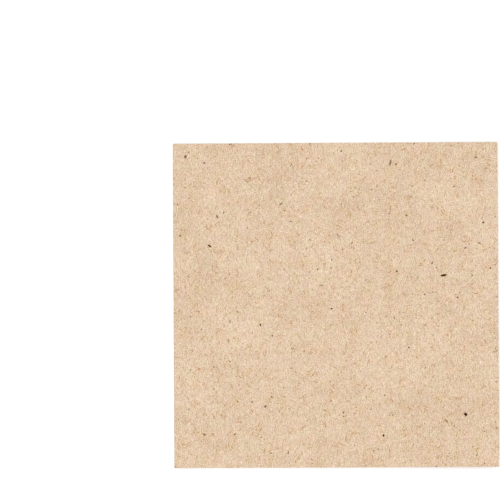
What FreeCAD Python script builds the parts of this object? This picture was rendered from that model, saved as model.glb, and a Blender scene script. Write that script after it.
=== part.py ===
"""Quarter-folded paper napkin.

One square sheet of soft kraft tissue is folded twice. The first fold brings the
sheet's far half back over itself. The second fold is at right angles to it and
closes the doubled sheet like a book, so that the first fold's round bend runs
once more round the corner where the two folds cross.

From the surface up, the four layers are the outer and inner layer of the lower
pair, then the inner and outer layer of the upper pair. They lie closest along
the second fold and fan open from there towards the free corner, where nothing
joins them.

Frame: X and Y along the edges of the folded square, Z up, the origin under the
middle of the square on the surface that it lies on. The second fold lies along
the low X edge, the first fold along the high Y edge, and the cut edges of the
sheet are at high X and at low Y. Lengths are in millimetres.
"""
import FreeCAD, Part
import math
import os
import Sketcher

NODE_NAME = "napkin"

# Each driving size: its name, its value and what it measures.
SIZES = [
    ("folded_width", 127.0, "from the second fold to the cut edge of the top layer"),
    ("folded_depth", 127.0, "from the first fold to the cut edge of the top layer"),
    ("tissue_thickness", 0.23, "one layer of the folded sheet"),
    ("layer_gap", 0.10, "air between two layers where they lie closest"),
    ("first_fold_miss", 0.8, "how far the two inner layers stop short of the outer ones"),
    ("second_fold_miss", 1.0, "how far the lower pair stops short of the upper pair"),
    ("spring_back", 0.35, "how far the upper pair opens at its free side"),
    ("second_layer_rise", 0.25, "rise of the second layer at the free corner"),
    ("third_layer_rise", 0.55, "rise of the third layer at the free corner, over the opening"),
    ("top_layer_rise", 1.40, "rise of the top layer at the free corner, over the opening"),
]

# What follows from them.
WORKED_OUT = [
    ("first_fold_hollow", "=layer_gap / 2"),
    ("first_fold_radius", "=first_fold_hollow + tissue_thickness"),
    ("second_fold_radius", "=2 * tissue_thickness + 1.5 * layer_gap"),
    ("bend_y", "=folded_depth / 2 - first_fold_radius"),
    ("bend_offset", "=second_fold_radius - first_fold_radius"),
    ("outer_leg", "=folded_depth - first_fold_radius"),
    ("inner_leg", "=outer_leg - first_fold_miss"),
    ("fold_x", "=second_fold_radius - folded_width / 2"),
    ("upper_edge_x", "=folded_width / 2"),
    ("lower_edge_x", "=upper_edge_x - second_fold_miss"),
    ("opened_bend_offset", "=bend_offset + spring_back"),
]

SKETCH_ORIGIN = (-1, 1)  # how a constraint names the sketch's own origin
START, END, CENTRE = 1, 2, 3  # how a constraint names a point of an edge


def fill_sheet(doc):
    """The spreadsheet with the driving sizes and what follows from them."""
    sheet = doc.addObject("Spreadsheet::Sheet", "Sizes")
    cells = [(alias, str(value), meaning) for alias, value, meaning in SIZES]
    cells += [(alias, formula, "worked out") for alias, formula in WORKED_OUT]
    for row, (alias, content, meaning) in enumerate(cells, start=1):
        sheet.set(f"A{row}", alias)
        sheet.set(f"B{row}", content)
        sheet.set(f"C{row}", meaning)
        sheet.setAlias(f"B{row}", alias)
    doc.recompute()
    return sheet


def size_of(sketch, alias):
    """A size as a plain number, and 0 where a layer has no rise."""
    return float(sketch.Document.Sizes.get(alias)) if alias else 0.0


def origin_plane(body, role):
    """The body's own origin plane of that role."""
    return next(plane for plane in body.Origin.OriginFeatures if plane.Role == role)


def bind(sketch, name, alias, kind, *points):
    """Adds a dimension to the sketch and ties it to a cell of the spreadsheet."""
    index = sketch.addConstraint(Sketcher.Constraint(kind, *points, size_of(sketch, alias)))
    sketch.renameConstraint(index, name)
    sketch.setExpression(f"Constraints.{name}", f"Sizes.{alias}")


def layer_faces(centre, side, slope, length, reaches):
    """The two faces of one layer, each as its near and its far point.

    The layer leaves the bend towards low Y. side is 1 for the layer above the
    bend's centre and -1 for the one below it, and reaches are the distances of
    its two faces from that centre.
    """
    faces = []
    far_y = centre[0] - length
    for reach in reaches:
        near_y = centre[0] + side * reach * math.sin(slope)
        near_z = centre[1] + side * reach * math.cos(slope)
        far_z = near_z + (near_y - far_y) * math.tan(slope)
        faces.append((FreeCAD.Vector(near_y, near_z, 0), FreeCAD.Vector(far_y, far_z, 0)))
    return faces


def pair_section(body, name, station, pair, bend_offset, above, below):
    """Section across a pair of layers that the first fold's round bend joins.

    The sketch looks along X from its station, and its own horizontal axis is the
    line that the second fold turns about. pair is 1 for the pair above that line
    and -1 for the one below it. above and below describe the two layers of the
    pair, each by its length and by how far its free end rises, None if it lies
    flat.
    """
    sketch = body.newObject("Sketcher::SketchObject", name)
    sketch.AttachmentSupport = [(origin_plane(body, "YZ_Plane"), "")]
    sketch.MapMode = "FlatFace"
    sketch.setExpression(".AttachmentOffset.Base.y", "Sizes.second_fold_radius")
    sketch.setExpression(".AttachmentOffset.Base.z", f"Sizes.{station}")

    reaches = (size_of(sketch, "first_fold_radius"), size_of(sketch, "first_fold_hollow"))
    centre = (size_of(sketch, "bend_y"), pair * size_of(sketch, bend_offset))
    above_length, above_rise = above
    below_length, below_rise = below
    above_slope = math.atan2(size_of(sketch, above_rise), size_of(sketch, above_length))
    below_slope = math.atan2(size_of(sketch, below_rise), size_of(sketch, below_length))
    roof, ceiling = layer_faces(centre, 1, above_slope, size_of(sketch, above_length), reaches)
    ground, floor = layer_faces(centre, -1, below_slope, size_of(sketch, below_length), reaches)

    def bend(reach):
        """The half turn between the two layers at that distance from its centre."""
        circle = Part.Circle(FreeCAD.Vector(*centre, 0), FreeCAD.Vector(0, 0, 1), reach)
        return Part.ArcOfCircle(circle, -math.pi / 2 - below_slope, math.pi / 2 - above_slope)

    top = sketch.addGeometry(Part.LineSegment(*roof))
    top_cut = sketch.addGeometry(Part.LineSegment(roof[1], ceiling[1]))
    top_inside = sketch.addGeometry(Part.LineSegment(ceiling[1], ceiling[0]))
    inside_bend = sketch.addGeometry(bend(reaches[1]))
    low_inside = sketch.addGeometry(Part.LineSegment(*floor))
    low_cut = sketch.addGeometry(Part.LineSegment(floor[1], ground[1]))
    low = sketch.addGeometry(Part.LineSegment(ground[1], ground[0]))
    outside_bend = sketch.addGeometry(bend(reaches[0]))

    sketch.addConstraint([
        Sketcher.Constraint("Tangent", outside_bend, END, top, START),
        Sketcher.Constraint("Coincident", top, END, top_cut, START),
        Sketcher.Constraint("Coincident", top_cut, END, top_inside, START),
        Sketcher.Constraint("Tangent", top_inside, END, inside_bend, END),
        Sketcher.Constraint("Tangent", inside_bend, START, low_inside, START),
        Sketcher.Constraint("Coincident", low_inside, END, low_cut, START),
        Sketcher.Constraint("Coincident", low_cut, END, low, START),
        Sketcher.Constraint("Tangent", low, END, outside_bend, START),
        Sketcher.Constraint("Coincident", inside_bend, CENTRE, outside_bend, CENTRE),
        Sketcher.Constraint("Vertical", top_cut),
        Sketcher.Constraint("Vertical", low_cut),
        Sketcher.Constraint("Parallel", top, top_inside),
        Sketcher.Constraint("Parallel", low, low_inside),
    ])
    bind(sketch, "bend_radius", "first_fold_radius", "Radius", outside_bend)
    bind(sketch, "bend_hollow", "first_fold_hollow", "Radius", inside_bend)
    bend_centre = (outside_bend, CENTRE)
    bind(sketch, "bend_place", "bend_y", "DistanceX", *SKETCH_ORIGIN, *bend_centre)
    rising = (*SKETCH_ORIGIN, *bend_centre) if pair > 0 else (*bend_centre, *SKETCH_ORIGIN)
    bind(sketch, "bend_height", bend_offset, "DistanceY", *rising)
    bind(sketch, "top_length", above_length, "DistanceX", top, END, *bend_centre)
    bind(sketch, "low_length", below_length, "DistanceX", low, START, *bend_centre)
    if above_rise:
        bind(sketch, "top_rise", above_rise, "DistanceY", top, START, top, END)
    else:
        sketch.addConstraint(Sketcher.Constraint("Horizontal", top))
    if below_rise:
        bind(sketch, "low_rise", below_rise, "DistanceY", low, END, low, START)
    else:
        sketch.addConstraint(Sketcher.Constraint("Horizontal", low))
    return sketch


def leaf_pair(body, name, fold_section, edge_section):
    """A pair of layers, straight from the second fold to its free side."""
    pair = body.newObject("PartDesign::AdditiveLoft", name)
    pair.Profile = (fold_section, [""])
    pair.Sections = [(edge_section, [""])]
    pair.Ruled = True
    return pair


def second_fold(body, fold_section):
    """The pair of layers turned half a turn, over on the low X side."""
    fold = body.newObject("PartDesign::Revolution", "SecondFold")
    fold.Profile = (fold_section, [""])
    fold.ReferenceAxis = (fold_section, ["H_Axis"])
    fold.Angle = 180
    return fold


def make_napkin(doc):
    """The folded sheet as one body: lower pair, second fold, upper pair."""
    body = doc.addObject("PartDesign::Body", "Napkin")
    body.Label = NODE_NAME
    flat_outer = ("outer_leg", None)
    flat_inner = ("inner_leg", None)
    lower_fold = pair_section(
        body, "LowerFoldSection", "fold_x", -1, "bend_offset", flat_inner, flat_outer
    )
    lower_edge = pair_section(
        body, "LowerEdgeSection", "lower_edge_x", -1, "bend_offset",
        ("inner_leg", "second_layer_rise"), flat_outer,
    )
    upper_fold = pair_section(
        body, "UpperFoldSection", "fold_x", 1, "bend_offset", flat_outer, flat_inner
    )
    upper_edge = pair_section(
        body, "UpperEdgeSection", "upper_edge_x", 1, "opened_bend_offset",
        ("outer_leg", "top_layer_rise"), ("inner_leg", "third_layer_rise"),
    )
    doc.recompute()
    leaf_pair(body, "LowerPair", lower_fold, lower_edge)
    second_fold(body, lower_fold)
    leaf_pair(body, "UpperPair", upper_fold, upper_edge)
    doc.recompute()
    return body


def check_document(doc, body):
    """Stops if any object failed, or if the napkin isn't one sound solid."""
    for item in doc.Objects:
        if {"Invalid", "Error"} & set(item.State):
            raise RuntimeError(f"{item.Name} did not recompute: {item.State}")
    shape = body.Shape
    if shape.isNull() or not shape.isValid() or len(shape.Solids) != 1:
        raise RuntimeError("the napkin is not one valid solid")


def print_measures(body):
    """The napkin's box, and the sheet that its paper would make when laid flat."""
    box = body.Shape.optimalBoundingBox(False, False)
    print(f"x {box.XMin:.3f} to {box.XMax:.3f}")
    print(f"y {box.YMin:.3f} to {box.YMax:.3f}")
    print(f"z {box.ZMin:.3f} to {box.ZMax:.3f}")
    flat_area = body.Shape.Volume / size_of(body, "tissue_thickness")
    print(f"volume {body.Shape.Volume:.1f}, a flat sheet of {flat_area:.0f} square mm")


doc = FreeCAD.newDocument("PaperNapkin")
fill_sheet(doc)
napkin = make_napkin(doc)
check_document(doc, napkin)
print_measures(napkin)
os.makedirs("parts", exist_ok=True)
napkin.Shape.exportStep(f"parts/{napkin.Label}.step")
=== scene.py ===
# %% [markdown]
# # A kraft paper napkin, folded in four
#
# The object is one square sheet of unbleached tissue. It is folded once, turned, and
# folded again, and it lies on a table with its free corner a little open. There is
# only one piece to model, so the lesson is about two things: how a flat sheet becomes
# a folded one without its layers running into each other, and how unbleached paper
# gets its mottled, flecked colour from noise and thousands of small strokes.

# %% Load the frame
import bmesh
import bpy
import math
from mathutils import Matrix, Vector, noise


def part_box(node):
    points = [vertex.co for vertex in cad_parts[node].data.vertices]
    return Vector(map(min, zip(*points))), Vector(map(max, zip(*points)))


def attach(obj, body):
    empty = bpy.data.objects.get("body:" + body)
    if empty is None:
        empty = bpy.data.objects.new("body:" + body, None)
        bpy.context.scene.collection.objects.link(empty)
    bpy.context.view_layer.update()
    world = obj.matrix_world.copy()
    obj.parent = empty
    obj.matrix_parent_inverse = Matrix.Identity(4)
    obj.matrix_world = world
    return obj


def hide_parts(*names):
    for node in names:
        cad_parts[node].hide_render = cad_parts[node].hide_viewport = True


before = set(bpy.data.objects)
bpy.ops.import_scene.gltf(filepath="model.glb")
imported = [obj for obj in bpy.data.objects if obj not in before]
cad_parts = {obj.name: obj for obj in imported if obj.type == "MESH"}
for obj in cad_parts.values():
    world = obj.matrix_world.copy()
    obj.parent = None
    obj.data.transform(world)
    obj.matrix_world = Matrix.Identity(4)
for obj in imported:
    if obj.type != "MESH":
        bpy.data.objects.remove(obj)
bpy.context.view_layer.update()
low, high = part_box("napkin")
print("the folded napkin lies between", tuple(low), "and", tuple(high))

# %% [markdown]
# ## The sizes of the folded sheet
#
# A folded sheet is easiest to describe in millimetres, because its layers are only
# a quarter of a millimetre thick. The outer size comes from the frame. The paper, the
# air between the layers and the small misses at the cut edges are the real sheet's
# own sizes, and the two bends follow from them: each layer is bent round the ones
# inside it, so the outer layer of the second fold takes the widest turn.

# %% Sizes in millimetres
MM = 0.001
WIDTH = (high[0] - low[0]) / MM
DEPTH = (high[1] - low[1]) / MM

PAPER = 0.23  # one layer of tissue
AIR = 0.10  # between two layers where they lie closest
PITCH = PAPER + AIR
FIRST_FOLD_MISS = 0.8  # the inner layers stop this much short of the outer ones
SECOND_FOLD_MISS = 1.0  # the lower pair stops this much short of the upper pair

HALF_HEIGHT = 2 * PAPER + 1.5 * AIR  # the second fold turns about this height
SECOND_AXIS_X = HALF_HEIGHT - WIDTH / 2
FIRST_AXIS_Y = DEPTH / 2 - PAPER - AIR / 2
FIRST_BEND_RADIUS = PITCH / 2
SECOND_BEND_RADIUS = PITCH  # the mean of the outer and the inner layer
FIRST_BEND = math.pi * FIRST_BEND_RADIUS
SECOND_BEND = math.pi * SECOND_BEND_RADIUS

OUTER_LEG = FIRST_AXIS_Y + DEPTH / 2
INNER_LEG = OUTER_LEG - FIRST_FOLD_MISS
UPPER_LEG = WIDTH / 2 - SECOND_AXIS_X
LOWER_LEG = UPPER_LEG - SECOND_FOLD_MISS
FLAT_WIDTH = LOWER_LEG + SECOND_BEND + UPPER_LEG
FLAT_DEPTH = OUTER_LEG + FIRST_BEND + INNER_LEG
print(f"flat sheet {FLAT_WIDTH:.1f} x {FLAT_DEPTH:.1f} mm")

# %% [markdown]
# ## How far the leaves stand open
#
# Paper springs back a little after folding. Nothing moves along the second fold, and
# most happens at the free corner. A layer rises by as much as the layer below it and
# then by something more. That is what keeps the layers from touching, as long as the
# three rises below grow from layer to layer.

# %% Rises and waves
SPRING_BACK = 0.35  # the upper pair along its free side
SECOND_LAYER_RISE = 0.25
THIRD_LAYER_RISE = 0.55
TOP_LAYER_RISE = 1.40
CURL_ACROSS = 1.8  # over 1, a leaf leaves the fold level and curls up near its edge
CURL_ALONG = 1.6
WAVE_HEIGHT = 0.45  # the most that each layer's own waves add, all upwards
WAVE_LENGTH = 26.0
# Every layer above the first has waves of its own, each from its own seed.
SECOND_LAYER_SEED = 1.5
OPENING_SEED = 5.5
TOP_LAYER_SEED = 9.5


def wave(x, y, seed):
    """A slow wave of the paper, between 0 and 1."""
    place = Vector((x / WAVE_LENGTH, y / WAVE_LENGTH, seed))
    return min(max(0.5 + 0.5 * noise.noise(place), 0.0), 1.0)


def rise(x, y, inner, upper):
    """How far a point of the sheet stands above its place in a flat pressed fold.

    inner is 0 on the outer layer of a pair and 1 on its inner layer, and upper tells
    the upper pair from the lower one.
    """
    across = min(max((x - SECOND_AXIS_X) / UPPER_LEG, 0.0), 1.0)
    along = min(max((FIRST_AXIS_Y - y) / OUTER_LEG, 0.0), 1.0)
    open_across = across ** CURL_ACROSS
    open_along = along ** CURL_ALONG
    swell = WAVE_HEIGHT * across
    second = open_across * open_along * SECOND_LAYER_RISE
    second += swell * along * wave(x, y, SECOND_LAYER_SEED)
    if not upper:
        return inner * second
    opened = open_across * SPRING_BACK + swell * wave(x, y, OPENING_SEED)
    third = second + opened + open_across * open_along * (THIRD_LAYER_RISE - SECOND_LAYER_RISE)
    top = third + open_across * open_along * (TOP_LAYER_RISE - THIRD_LAYER_RISE)
    top += swell * along * wave(x, y, TOP_LAYER_SEED)
    return inner * third + (1 - inner) * top


corner_rise = rise(WIDTH / 2, -DEPTH / 2, 0, upper=True)
print(f"the free corner of the top layer stands {corner_rise:.2f} mm open")

# %% [markdown]
# ## Folding by formula
#
# The sheet could be folded by a cloth simulation, but a pressed fold is not limp: it
# is two tight bends with flat paper between them, and a formula gives exactly that.
# A point of the flat sheet is carried round the first bend, which tells how far it
# lies from the outer layer, and then round the second. The flat position counts in
# millimetres from the same origin as the top layer of the folded napkin, so on that
# layer the flat place of a point is also its folded place.

# %% The fold
def folded(flat_x, flat_y):
    """Where a point of the flat sheet lies in the folded napkin, in millimetres."""
    past_first = flat_y - FIRST_AXIS_Y
    if past_first < 0:
        y, depth = flat_y, 0.0
    elif past_first < FIRST_BEND:
        turn = past_first / FIRST_BEND_RADIUS
        y = FIRST_AXIS_Y + FIRST_BEND_RADIUS * math.sin(turn)
        depth = FIRST_BEND_RADIUS * (1 - math.cos(turn))
    else:
        y, depth = FIRST_AXIS_Y - (past_first - FIRST_BEND), PITCH
    inner = depth / PITCH

    radius = HALF_HEIGHT - PAPER / 2 - depth
    past_second = SECOND_AXIS_X - flat_x
    if past_second < 0:
        x, z = flat_x, HALF_HEIGHT + radius
    elif past_second < SECOND_BEND:
        turn = math.pi * past_second / SECOND_BEND
        x = SECOND_AXIS_X - radius * math.sin(turn)
        z = HALF_HEIGHT + radius * math.cos(turn)
    else:
        x, z = SECOND_AXIS_X + (past_second - SECOND_BEND), HALF_HEIGHT - radius
    return Vector((x, y, z + rise(x, y, inner, past_second < SECOND_BEND / 2)))


far_corner = folded(SECOND_AXIS_X - SECOND_BEND - LOWER_LEG, -DEPTH / 2)
print("the sheet's far corner comes to lie at", tuple(round(length, 1) for length in far_corner))

# %% [markdown]
# ## A ruler with close marks at the folds
#
# A bend is about a millimetre long and needs many rows of faces, while the flat paper
# beside it needs few. So the rows of the grid follow a ruler: evenly spaced marks
# inside a bend, and marks that spread out as they leave it.

# %% The ruler
LEG_STEPS = 72  # on each side of a bend
BEND_STEPS = 10
SPREAD = 1.6  # how fast the marks spread away from a bend


def ruler(leg_before, bend_start, bend_length, leg_after):
    """Marks along one side of the sheet, close together in the bend."""
    spread = [(step / LEG_STEPS) ** SPREAD for step in range(1, LEG_STEPS + 1)]
    before = [bend_start - leg_before * share for share in reversed(spread)]
    bend = [bend_start + bend_length * step / BEND_STEPS for step in range(BEND_STEPS + 1)]
    after = [bend[-1] + leg_after * share for share in spread]
    return before + bend + after


rows = ruler(OUTER_LEG, FIRST_AXIS_Y, FIRST_BEND, INNER_LEG)
columns = ruler(LOWER_LEG, SECOND_AXIS_X - SECOND_BEND, SECOND_BEND, UPPER_LEG)
print(len(columns), "columns and", len(rows), "rows of corners")

# %% [markdown]
# ## From grid to napkin
#
# `create_grid` makes the faces. Each corner is then moved to its mark on the flat
# sheet, the flat place is kept in a UV map, and the corner is carried to its folded
# place. The UV map is what the paper's pattern will follow, so that the mottling
# runs round the folds as it does on a real sheet. Solidify gives the tissue its
# thickness, half to each side, and the mesh it makes is kept, so that the cut edges
# can be marked sharp.

# %% The folded sheet
FLAT_MAP = "flat_sheet"
SHARP_EDGE = math.radians(50)


def grid_step(share, marks):
    """The mark that a corner of the unit grid belongs to."""
    return round((share + 0.5) * (len(marks) - 1))


def make_sheet(name):
    """The folded tissue as one closed mesh."""
    bm = bmesh.new()
    bmesh.ops.create_grid(bm, x_segments=len(columns) - 1, y_segments=len(rows) - 1, size=0.5)
    flat_map = bm.loops.layers.uv.new(FLAT_MAP)
    for corner in bm.verts:
        column = grid_step(corner.co.x, columns)
        row = grid_step(corner.co.y, rows)
        flat = Vector((columns[column], rows[row]))
        for loop in corner.link_loops:
            loop[flat_map].uv = flat
        corner.co = folded(flat.x, flat.y) * MM
    for face in bm.faces:
        face.smooth = True
    mesh = bpy.data.meshes.new(name)
    bm.to_mesh(mesh)
    bm.free()

    sheet = bpy.data.objects.new(name, mesh)
    bpy.context.scene.collection.objects.link(sheet)
    thickness = sheet.modifiers.new("thickness", "SOLIDIFY")
    thickness.thickness = PAPER * MM
    thickness.offset = 0
    solid = sheet.evaluated_get(bpy.context.evaluated_depsgraph_get())
    finished = bpy.data.meshes.new_from_object(solid)
    sheet.modifiers.clear()
    sheet.data = finished
    bpy.data.meshes.remove(mesh)
    finished.set_sharp_from_angle(angle=SHARP_EDGE)
    return sheet


napkin = make_sheet("napkin_sheet")
print("the sheet has", len(napkin.data.polygons), "faces")

# %% [markdown]
# ## A small notation for shader maths
#
# The paper's colour takes several hundred material nodes, and nodes are easier to read
# as sums than as boxes. `Value` wraps a socket, and its operators add Math nodes, so
# `1 - mask * 0.5` means what it says.

# %% Values
class Value:
    """An output of a node. Where it is a number, it can be used in an expression."""

    def __init__(self, recipe, socket):
        self.recipe = recipe
        self.socket = socket

    def output(self, name):
        """Another output of the same node."""
        return Value(self.recipe, self.socket.node.outputs[name])

    def maths(self, operation, *others):
        """A Math node whose first number is this one."""
        inputs = dict(enumerate((self, *others)))
        return self.recipe.add("ShaderNodeMath", {"operation": operation}, inputs)

    def __add__(self, other):
        return self.maths("ADD", other)

    def __sub__(self, other):
        return self.maths("SUBTRACT", other)

    def __rsub__(self, other):
        return self.recipe.number("SUBTRACT", other, self)

    def __mul__(self, other):
        return self.maths("MULTIPLY", other)

    def at_most(self, other):
        return self.maths("MINIMUM", other)

    def at_least(self, other):
        return self.maths("MAXIMUM", other)

    __radd__ = __add__
    __rmul__ = __mul__


# %% [markdown]
# ## Every other node
#
# `Recipe` is a material that is written down step by step. Its method `add` takes a
# node's type, its settings and what goes into its sockets, and gives a `Value`. The
# methods below it are short names for the nodes that paper needs most: noise, a ramp
# between two limits, a blend of two colours, and a pattern that is moved and turned.

# %% Recipe
class Recipe:
    """A material whose nodes are added one expression at a time."""

    def __init__(self, name):
        self.material = bpy.data.materials.new(name)
        self.material.use_nodes = True
        self.tree = self.material.node_tree
        self.surface = self.tree.nodes["Principled BSDF"]

    def add(self, kind, settings, inputs, output=0):
        """Adds a node and gives one of its outputs."""
        node = self.tree.nodes.new(kind)
        for name, setting in settings.items():
            setattr(node, name, setting)
        for name, value in inputs.items():
            self.feed(node.inputs[name], value)
        return Value(self, node.outputs[output])

    def feed(self, socket, value):
        """Links a value to a socket, or sets the socket to a plain number or colour."""
        if isinstance(value, Value):
            self.tree.links.new(value.socket, socket)
        else:
            socket.default_value = value

    def number(self, operation, first, second):
        """A number from two others, also where the first is a plain number."""
        return self.add("ShaderNodeMath", {"operation": operation}, {0: first, 1: second})

    def vector(self, operation, first, second):
        """A place or a direction from two others."""
        return self.add("ShaderNodeVectorMath", {"operation": operation}, {0: first, 1: second})

    def seen_from(self, place, centre, turn, size):
        """A place as it lies from a centre, turned in degrees and measured in sizes."""
        return self.add("ShaderNodeMapping", {"vector_type": "TEXTURE"}, {
            "Vector": place, "Location": (*centre, 0),
            "Rotation": (0, 0, math.radians(turn)), "Scale": (*size, 1),
        })

    def noise(self, place, size, seed, inputs):
        """Smooth noise between 0 and 1, whose hills are about size millimetres apart."""
        moved = self.vector("ADD", place, (seed, -seed, 0))
        inputs = {"Vector": moved, "Scale": 1 / size, **inputs}
        return self.add("ShaderNodeTexNoise", {"noise_dimensions": "2D"}, inputs)

    def ramp(self, value, start, stop, smooth=True):
        """0 where the value is at start, 1 where it is at stop, held at both ends."""
        settings = {"interpolation_type": "SMOOTHSTEP" if smooth else "LINEAR", "clamp": True}
        inputs = {"Value": value, "From Min": start, "From Max": stop}
        return self.add("ShaderNodeMapRange", settings, inputs)

    def blend(self, share, first, second, how="MIX"):
        """A colour between two others, or the product of two where how is MULTIPLY."""
        settings = {"data_type": "RGBA", "blend_type": how}
        factor, first_colour, second_colour, result = 0, 6, 7, 2
        inputs = {factor: share, first_colour: first, second_colour: second}
        return self.add("ShaderNodeMix", settings, inputs, result)


# %% [markdown]
# ## The colour of unbleached tissue
#
# Kraft tissue is pulp that was never bleached: a pale tan ground with brown fibres and
# specks of bark in it. Colours are picked as a screen shows them and turned into the
# linear values that a shader works in. The studio is a little brighter than white, so
# that the floor comes out pure white, and the paper's colours make up for that.

# %% Colours
def linear(red, green, blue):
    """A screen colour from 0 to 255 as the linear colour of a shader."""
    def channel(level):
        share = level / 255
        return share / 12.92 if share <= 0.04045 else ((share + 0.055) / 1.055) ** 2.4
    return (channel(red), channel(green), channel(blue), 1.0)


LIGHT_LEVEL = 1.3  # how bright the studio is against a plain white of 1


def paper_colour(red, green, blue):
    """The paper's own colour, from how it looks in this studio's light."""
    lit = linear(red, green, blue)
    return (*(channel / LIGHT_LEVEL for channel in lit[:3]), 1.0)


DEEP_TAN = paper_colour(189, 156, 121)
PALE_TAN = paper_colour(265, 241, 212)
BROWN_FIBRE = paper_colour(177, 122, 63)
BARK = paper_colour(100, 62, 0)
BARK_HEART = paper_colour(45, 22, 0)
print("the ground lies between", DEEP_TAN, "and", PALE_TAN)

# %% [markdown]
# ## Clouds and felt
#
# From close by, the ground has clouds of darker and lighter pulp at every size, from a
# few centimetres down to under a millimetre. Noise at one size looks like fog, so
# several sizes are added up. Below them is the felt of single fibres. An even fine
# noise would look like sand, so this one is stretched, along three directions that
# cross, and furthest along the sheet's grain.

# %% Mottling
# Size in millimetres, stretch, turn in degrees, strength and seed of each layer.
CLOUDS = [
    (26.0, 1.0, 0, 0.15, 3.1),
    (9.0, 1.2, 90, 0.12, 7.7),
    (3.4, 1.3, 90, 0.14, 12.3),
    (1.3, 1.4, 90, 0.2, 21.9),
    (0.8, 1.4, 90, 0.1, 33.7),
]
FELT = [
    (0.24, 6.0, 89, 0.72, 57.9),
    (0.24, 1.4, 60, 1.12, 63.7),
    (0.24, 1.4, 125, 1.12, 71.5),
]
SOFT_NOISE = {"Detail": 0.6, "Distortion": 0.6}  # distortion curls the felt's fibres


def mottling(recipe, flat, layers):
    """Smooth noise of several sizes added up, about 0 on average."""
    tone = 0
    for size, stretch, turn, strength, seed in layers:
        own = recipe.seen_from(flat, (seed, -seed), turn, (size * stretch, size))
        cloud = recipe.noise(own, 1, 0, SOFT_NOISE)
        tone = (cloud - 0.5) * strength + tone
    return tone


print(len(CLOUDS), "layers of clouds and", len(FELT), "of felt")

# %% [markdown]
# ## Fibres and bark
#
# A fibre that stands out could be a curve laid on the sheet, but there are thousands,
# so each is a stroke in the material. A Voronoi pattern gives each of its cells a
# middle and a random colour, and the colour's three channels decide whether the cell
# gets a stroke, how strong it is and how far it is turned. The stroke is an ellipse
# that a parabola bends into a curl. Specks of bark are short strokes of the same kind.

# %% Strokes
# Spacing, length, width, bow, share of the cells and seed of each kind of stroke.
BROWN_FIBRES = [
    (4.2, 2.8, 0.24, 0.35, 0.7, 4.0),
    (2.6, 1.8, 0.24, -0.6, 0.7, 17.0),
    (1.7, 0.9, 0.3, 0.5, 0.4, 67.0),
]
PALE_FIBRES = [
    (4.0, 2.2, 0.3, 0.25, 0.6, 41.0),
    (2.0, 0.9, 0.36, -0.5, 0.8, 29.0),
]
BARK_SPECKS = [
    (4.6, 0.6, 0.45, 0.0, 0.25, 11.0),
    (8.0, 1.1, 0.4, 0.3, 0.33, 57.0),
]
GRAIN_SPREAD = 2.0  # how far, in radians, strokes turn away from the grain
# How far from its middle a stroke ends and is at its full strength, in squared half sizes.
STROKE_RIM = 1.5
STROKE_CORE = 0.2


def strokes(recipe, flat, spacing, length, width, bow, share, seed):
    """Short bowed strokes, at most one in each cell of a Voronoi pattern.

    Sizes are in millimetres, and a share of the cells gets a stroke. The result is
    1 on the strongest strokes, less on the others and 0 beside them.
    """
    moved = recipe.vector("ADD", flat, (seed, -seed, 0))
    settings = {"voronoi_dimensions": "2D", "feature": "F1"}
    inputs = {"Vector": moved, "Scale": 1 / spacing}
    middle = recipe.add("ShaderNodeTexVoronoi", settings, inputs, "Position")
    chance = recipe.add("ShaderNodeSeparateColor", {}, {"Color": middle.output("Color")}, "Red")
    turn = math.pi / 2 + (chance.output("Green") + chance.output("Blue") - 1) * GRAIN_SPREAD
    away = {"Vector": recipe.vector("SUBTRACT", moved, middle), "Angle": turn}
    turned = recipe.add("ShaderNodeVectorRotate", {"rotation_type": "Z_AXIS"}, away)
    x = recipe.add("ShaderNodeSeparateXYZ", {}, {"Vector": turned}, "X")
    along = x * (2 / length)
    across = (x.output("Y") - x * x * bow) * (2 / width)
    inside = recipe.ramp(along * along + across * across, STROKE_RIM, STROKE_CORE)
    return inside * recipe.ramp(chance, 1 - share, 1, smooth=False)


print(len(BROWN_FIBRES + PALE_FIBRES + BARK_SPECKS), "kinds of stroke")

# %% [markdown]
# ## The flecks that the eye finds first
#
# A few dozen flecks on the face are large or dark enough to be told apart, and they
# make this napkin this one. Chance can't place them, so each has a line of its own: a
# small turned ellipse. Their places come from a program that measured the photograph.
# Their sizes, turns and darkness were chosen by comparing pictures. A darkness over 1
# gives a fleck a blacker heart.

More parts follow.
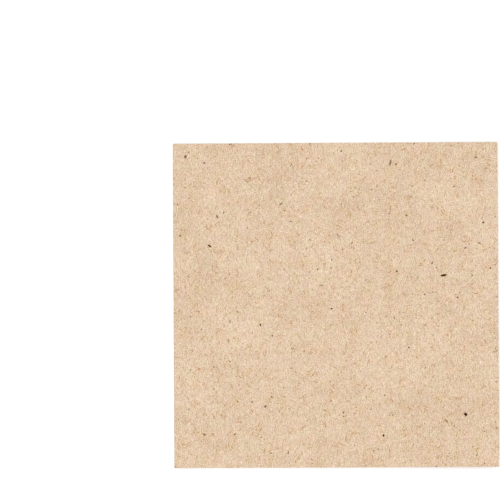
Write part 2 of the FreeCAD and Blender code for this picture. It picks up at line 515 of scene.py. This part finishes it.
# %% Flecks listed one by one
# Place, length and width in millimetres, turn in degrees, darkness.
FACE_FLECKS = [
    (42.2, 11.5, 2.4, 0.9, 10, 1.3),
    (50.5, -42.9, 1.4, 1.05, -50, 1.8),
    (18.4, -51.1, 0.9, 0.7, 90, 2.4),
    (57.8, 32.1, 0.9, 0.65, 45, 1.25),
    (-1.7, -1.4, 0.8, 0.6, 0, 1.4),
    (-29.6, -7.5, 0.85, 0.65, 90, 1.2),
    (-49.3, 23.4, 1.7, 0.7, -35, 1.15),
    (-27.8, -39.5, 1.0, 0.7, 45, 0.95),
    (-58.6, 58.4, 1.4, 1.0, 60, 0.85),
    (23.9, 13.2, 0.8, 0.65, 0, 1.1),
    (2.4, 60.3, 0.7, 0.5, 0, 1.4),
    (21.6, 55.7, 2.4, 0.75, 75, 0.8),
    (-39.8, -50.4, 0.8, 0.6, 80, 1.05),
    (-51.7, -50.4, 1.1, 0.85, -40, 0.8),
    (28.5, -16.7, 0.8, 0.6, 90, 0.95),
    (23.7, 55.1, 1.0, 0.6, 60, 0.85),
    (2.7, -42.0, 0.7, 0.6, 0, 0.95),
    (-46.3, 34.8, 1.5, 0.7, -65, 0.8),
    (60.5, 14.2, 0.75, 0.55, 0, 1.1),
    (47.6, 2.8, 1.0, 0.8, 0, 0.8),
    (27.8, 35.1, 0.75, 0.5, 0, 1.0),
    (56.3, 24.0, 1.3, 0.7, -30, 0.7),
    (-60.8, 27.5, 0.9, 0.9, 0, 0.7),
    (1.1, 27.2, 2.0, 0.45, -42, 0.6),
    (-41.5, -6.1, 1.6, 0.9, 90, 0.5),
    (-18.9, -57.6, 1.7, 0.55, 80, 0.7),
    (-7.0, 14.2, 0.6, 0.5, 0, 1.05),
    (18.9, -35.3, 0.6, 0.5, 0, 0.95),
    (37.8, 16.3, 0.7, 0.5, 0, 0.95),
    (34.8, 4.0, 0.8, 0.5, 90, 0.85),
    (-43.7, 36.5, 0.8, 0.5, 90, 0.95),
    (-51.2, 55.9, 0.9, 0.6, 0, 0.9),
    (50.8, 22.2, 1.1, 0.6, 45, 0.85),
    (43.0, -45.5, 1.6, 0.6, -50, 0.75),
    (-5.6, 7.8, 1.8, 0.6, 8, 0.5),
    (-21.3, 39.8, 1.6, 0.65, 45, 0.75),
]
# How far from its middle a fleck ends and is fully dark, in half sizes.
FLECK_RIM = 1.25
FLECK_CORE = 0.7


def face_flecks(recipe, flat):
    """The listed flecks: their darkness on a fleck, 0 beside them."""
    most = None
    for x, y, length, width, turn, darkness in FACE_FLECKS:
        own = recipe.seen_from(flat, (x, y), turn, (length / 2, width / 2))
        reach = recipe.add("ShaderNodeVectorMath", {"operation": "LENGTH"}, {0: own}, "Value")
        fleck = recipe.ramp(reach, FLECK_RIM, FLECK_CORE) * darkness
        most = fleck if most is None else most.at_least(fleck)
    return most


print(len(FACE_FLECKS), "flecks are listed one by one")

# %% [markdown]
# ## The tissue
#
# The parts come together here. Clouds, felt and pale fibres make the ground lighter or
# darker. Two faint tints drift over it: one makes warmer patches, where brown fibres
# gather too, and one lies between green and rose. Then come the brown fibres and the
# bark. Felt and fibres also lift the surface by a few hundredths of a millimetre,
# which is too little for geometry and is bump. Tissue has hardly any gloss, so its
# roughness is high.

# %% Tissue
# Tints that the ground is multiplied by, from one end of a drift to the other.
WARM_DRIFT = ((1.002, 1.01, 1.04, 1), (0.995, 0.965, 0.905, 1))
ROSE_DRIFT = ((1.012, 0.982, 1.012, 1), (0.988, 1.018, 0.988, 1))
DRIFT_SIZE = 4.8  # in millimetres
DRIFT_NOISE = {"Detail": 3.0, "Roughness": 0.65}
WARM_SEED = 91.0
ROSE_SEED = 182.0
# The levels of the noise between which a tint goes from one end to the other.
WARM_LIMITS = (0.62, 0.24)
ROSE_LIMITS = (0.27, 0.73)
WARM_IN_CLOUDS = 0.3  # how far the warm patches follow the dark clouds

FIBRES_ANYWHERE = 0.6
FIBRES_IN_PATCHES = 1.4  # and how much more where the ground is warm
PALE_STRENGTH = 0.25
BROWN_STRENGTH = 0.73
BARK_STRENGTH = 1.1
HEART_LIMITS = (0.9, 1.5)  # the darkness at which a fleck's heart starts and is full

FELT_RELIEF = 0.4
FIBRE_RELIEF = 0.5
RELIEF = 0.00005  # in metres
RELIEF_STRENGTH = 0.5
ROUGHNESS = 0.92
SMOOTHER_WHERE_PALE = 0.1
GLOSS = 0.15


def make_tissue(name):
    """The kraft tissue, which follows the flat sheet round its folds."""
    recipe = Recipe(name)
    flat = recipe.add("ShaderNodeUVMap", {"uv_map": FLAT_MAP}, {})
    felt = mottling(recipe, flat, FELT)
    clouds = mottling(recipe, flat, CLOUDS)
    tone = clouds + felt
    warm_drift = recipe.noise(flat, DRIFT_SIZE, WARM_SEED, DRIFT_NOISE)
    warm = recipe.ramp(warm_drift + clouds * WARM_IN_CLOUDS, *WARM_LIMITS)
    rose_drift = recipe.noise(flat, DRIFT_SIZE, ROSE_SEED, DRIFT_NOISE)
    rose = recipe.ramp(rose_drift, *ROSE_LIMITS)
    brown = sum(strokes(recipe, flat, *kind) for kind in BROWN_FIBRES)
    brown = brown * (warm * FIBRES_IN_PATCHES + FIBRES_ANYWHERE)
    pale = sum(strokes(recipe, flat, *kind) for kind in PALE_FIBRES)
    dark = face_flecks(recipe, flat)
    for kind in BARK_SPECKS:
        dark = dark.at_least(strokes(recipe, flat, *kind) * BARK_STRENGTH)

    share = recipe.ramp(tone + pale * PALE_STRENGTH + 0.5, 0, 1, smooth=False)
    ground = recipe.blend(share, DEEP_TAN, PALE_TAN)
    for place, (one_end, other_end) in ((warm, WARM_DRIFT), (rose, ROSE_DRIFT)):
        ground = recipe.blend(1, ground, recipe.blend(place, one_end, other_end), "MULTIPLY")
    with_fibres = recipe.blend((brown * BROWN_STRENGTH).at_most(1), ground, BROWN_FIBRE)
    heart = recipe.ramp(dark, *HEART_LIMITS, smooth=False)
    bark = recipe.blend(heart, BARK, BARK_HEART)
    colour = recipe.blend(dark.at_most(1), with_fibres, bark)

    height = felt * FELT_RELIEF + (pale + brown) * FIBRE_RELIEF
    bump = {"Strength": RELIEF_STRENGTH, "Distance": RELIEF, "Height": height}
    relief = recipe.add("ShaderNodeBump", {}, bump)
    surface = recipe.surface
    recipe.feed(surface.inputs["Base Color"], colour)
    recipe.feed(surface.inputs["Roughness"], ROUGHNESS - tone * SMOOTHER_WHERE_PALE)
    recipe.feed(surface.inputs["Normal"], relief)
    recipe.feed(surface.inputs["Specular IOR Level"], GLOSS)
    return recipe.material


tissue = make_tissue("kraft_tissue")
napkin.data.materials.append(tissue)
print(len(tissue.node_tree.nodes), "nodes make the tissue")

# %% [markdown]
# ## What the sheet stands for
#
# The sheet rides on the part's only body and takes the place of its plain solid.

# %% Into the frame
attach(napkin, "root")
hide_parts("napkin")
FLAT_WIDTH * MM
FLAT_DEPTH * MM

# %% [markdown]
# ## Floor and light
#
# The napkin lies on a plain white floor. A wide sky lights it evenly, and one large
# soft lamp hangs nearly overhead, so that the edges cast almost no shadow.

# %% Floor
FLOOR_SIZE = 6.0  # in metres
FLOOR_GAP = 0.00002  # so that the floor and the napkin's underside are not one plane
FLOOR_COLOUR = (0.95, 0.95, 0.95, 1)
FLOOR_ROUGHNESS = 0.9


def make_floor():
    """A plain white square under the napkin, much wider than the picture."""
    bm = bmesh.new()
    bmesh.ops.create_grid(bm, x_segments=1, y_segments=1, size=FLOOR_SIZE / 2)
    mesh = bpy.data.meshes.new("floor")
    bm.to_mesh(mesh)
    bm.free()
    mesh.transform(Matrix.Translation((0, 0, -FLOOR_GAP)))
    floor = bpy.data.objects.new("floor", mesh)
    bpy.context.scene.collection.objects.link(floor)
    recipe = Recipe("white_floor")
    recipe.feed(recipe.surface.inputs["Base Color"], FLOOR_COLOUR)
    recipe.feed(recipe.surface.inputs["Roughness"], FLOOR_ROUGHNESS)
    recipe.feed(recipe.surface.inputs["Specular IOR Level"], 0.0)
    mesh.materials.append(recipe.material)
    return floor


make_floor()

# %% Light
SKY_SHARE = 0.62  # of the light level, from all round
world = bpy.data.worlds.new("studio")
world.use_nodes = True
sky = world.node_tree.nodes["Background"]
sky.inputs["Color"].default_value = (1, 1, 1, 1)
sky.inputs["Strength"].default_value = LIGHT_LEVEL * SKY_SHARE
bpy.context.scene.world = world

LAMP_PLACE = Vector((0.06, -0.1, 1.9))  # in metres
LAMP_SIDE = 1.2
lamp_data = bpy.data.lights.new("soft_lamp", "AREA")
lamp_data.shape = "SQUARE"
lamp_data.size = LAMP_SIDE
# Straight ahead of a lamp its light thins out by pi times the distance squared. It
# falls on the table at a slant, and white paper gives back one part in pi of it.
height_share = LAMP_PLACE.z / LAMP_PLACE.length
lamp_light = LIGHT_LEVEL * (1 - SKY_SHARE)
lamp_data.energy = lamp_light * math.pi * math.pi * LAMP_PLACE.length_squared / height_share
lamp = bpy.data.objects.new("soft_lamp", lamp_data)
lamp.location = LAMP_PLACE
lamp.rotation_euler = LAMP_PLACE.to_track_quat("Z", "Y").to_euler()
bpy.context.scene.collection.objects.link(lamp)
print(f"the lamp gives {lamp_data.energy:.1f} W")

# %% [markdown]
# ## Camera
#
# The camera looks straight down. Its place is worked out from where the napkin stands
# in a picture of 500 by 500 pixels, and it is far enough away to keep the square free
# of perspective.

# %% Camera
PICTURE = 500  # pixels a side
SQUARE_CENTRE = (335.6, 305.6)  # the napkin's middle in the picture
SQUARE_SIDE = 324.4
SQUARE_TURN = math.radians(0.29)  # anticlockwise
CAMERA_HEIGHT = 1.6  # metres over the folded paper
SENSOR = 36.0  # its width in millimetres

pixel = WIDTH * MM / SQUARE_SIDE
camera_data = bpy.data.cameras.new("camera")
camera_data.sensor_width = SENSOR
camera_data.lens = SENSOR * CAMERA_HEIGHT / (PICTURE * pixel)
camera = bpy.data.objects.new("camera", camera_data)
aside = Vector((PICTURE / 2 - SQUARE_CENTRE[0], SQUARE_CENTRE[1] - PICTURE / 2)) * pixel
camera.location = (aside.x, aside.y, CAMERA_HEIGHT + 2 * HALF_HEIGHT * MM)
camera.rotation_euler = (0, 0, -SQUARE_TURN)
bpy.context.scene.collection.objects.link(camera)
bpy.context.scene.camera = camera
bpy.context.scene.view_settings.view_transform = "Standard"
print(f"lens {camera_data.lens:.0f} mm at {CAMERA_HEIGHT} m")
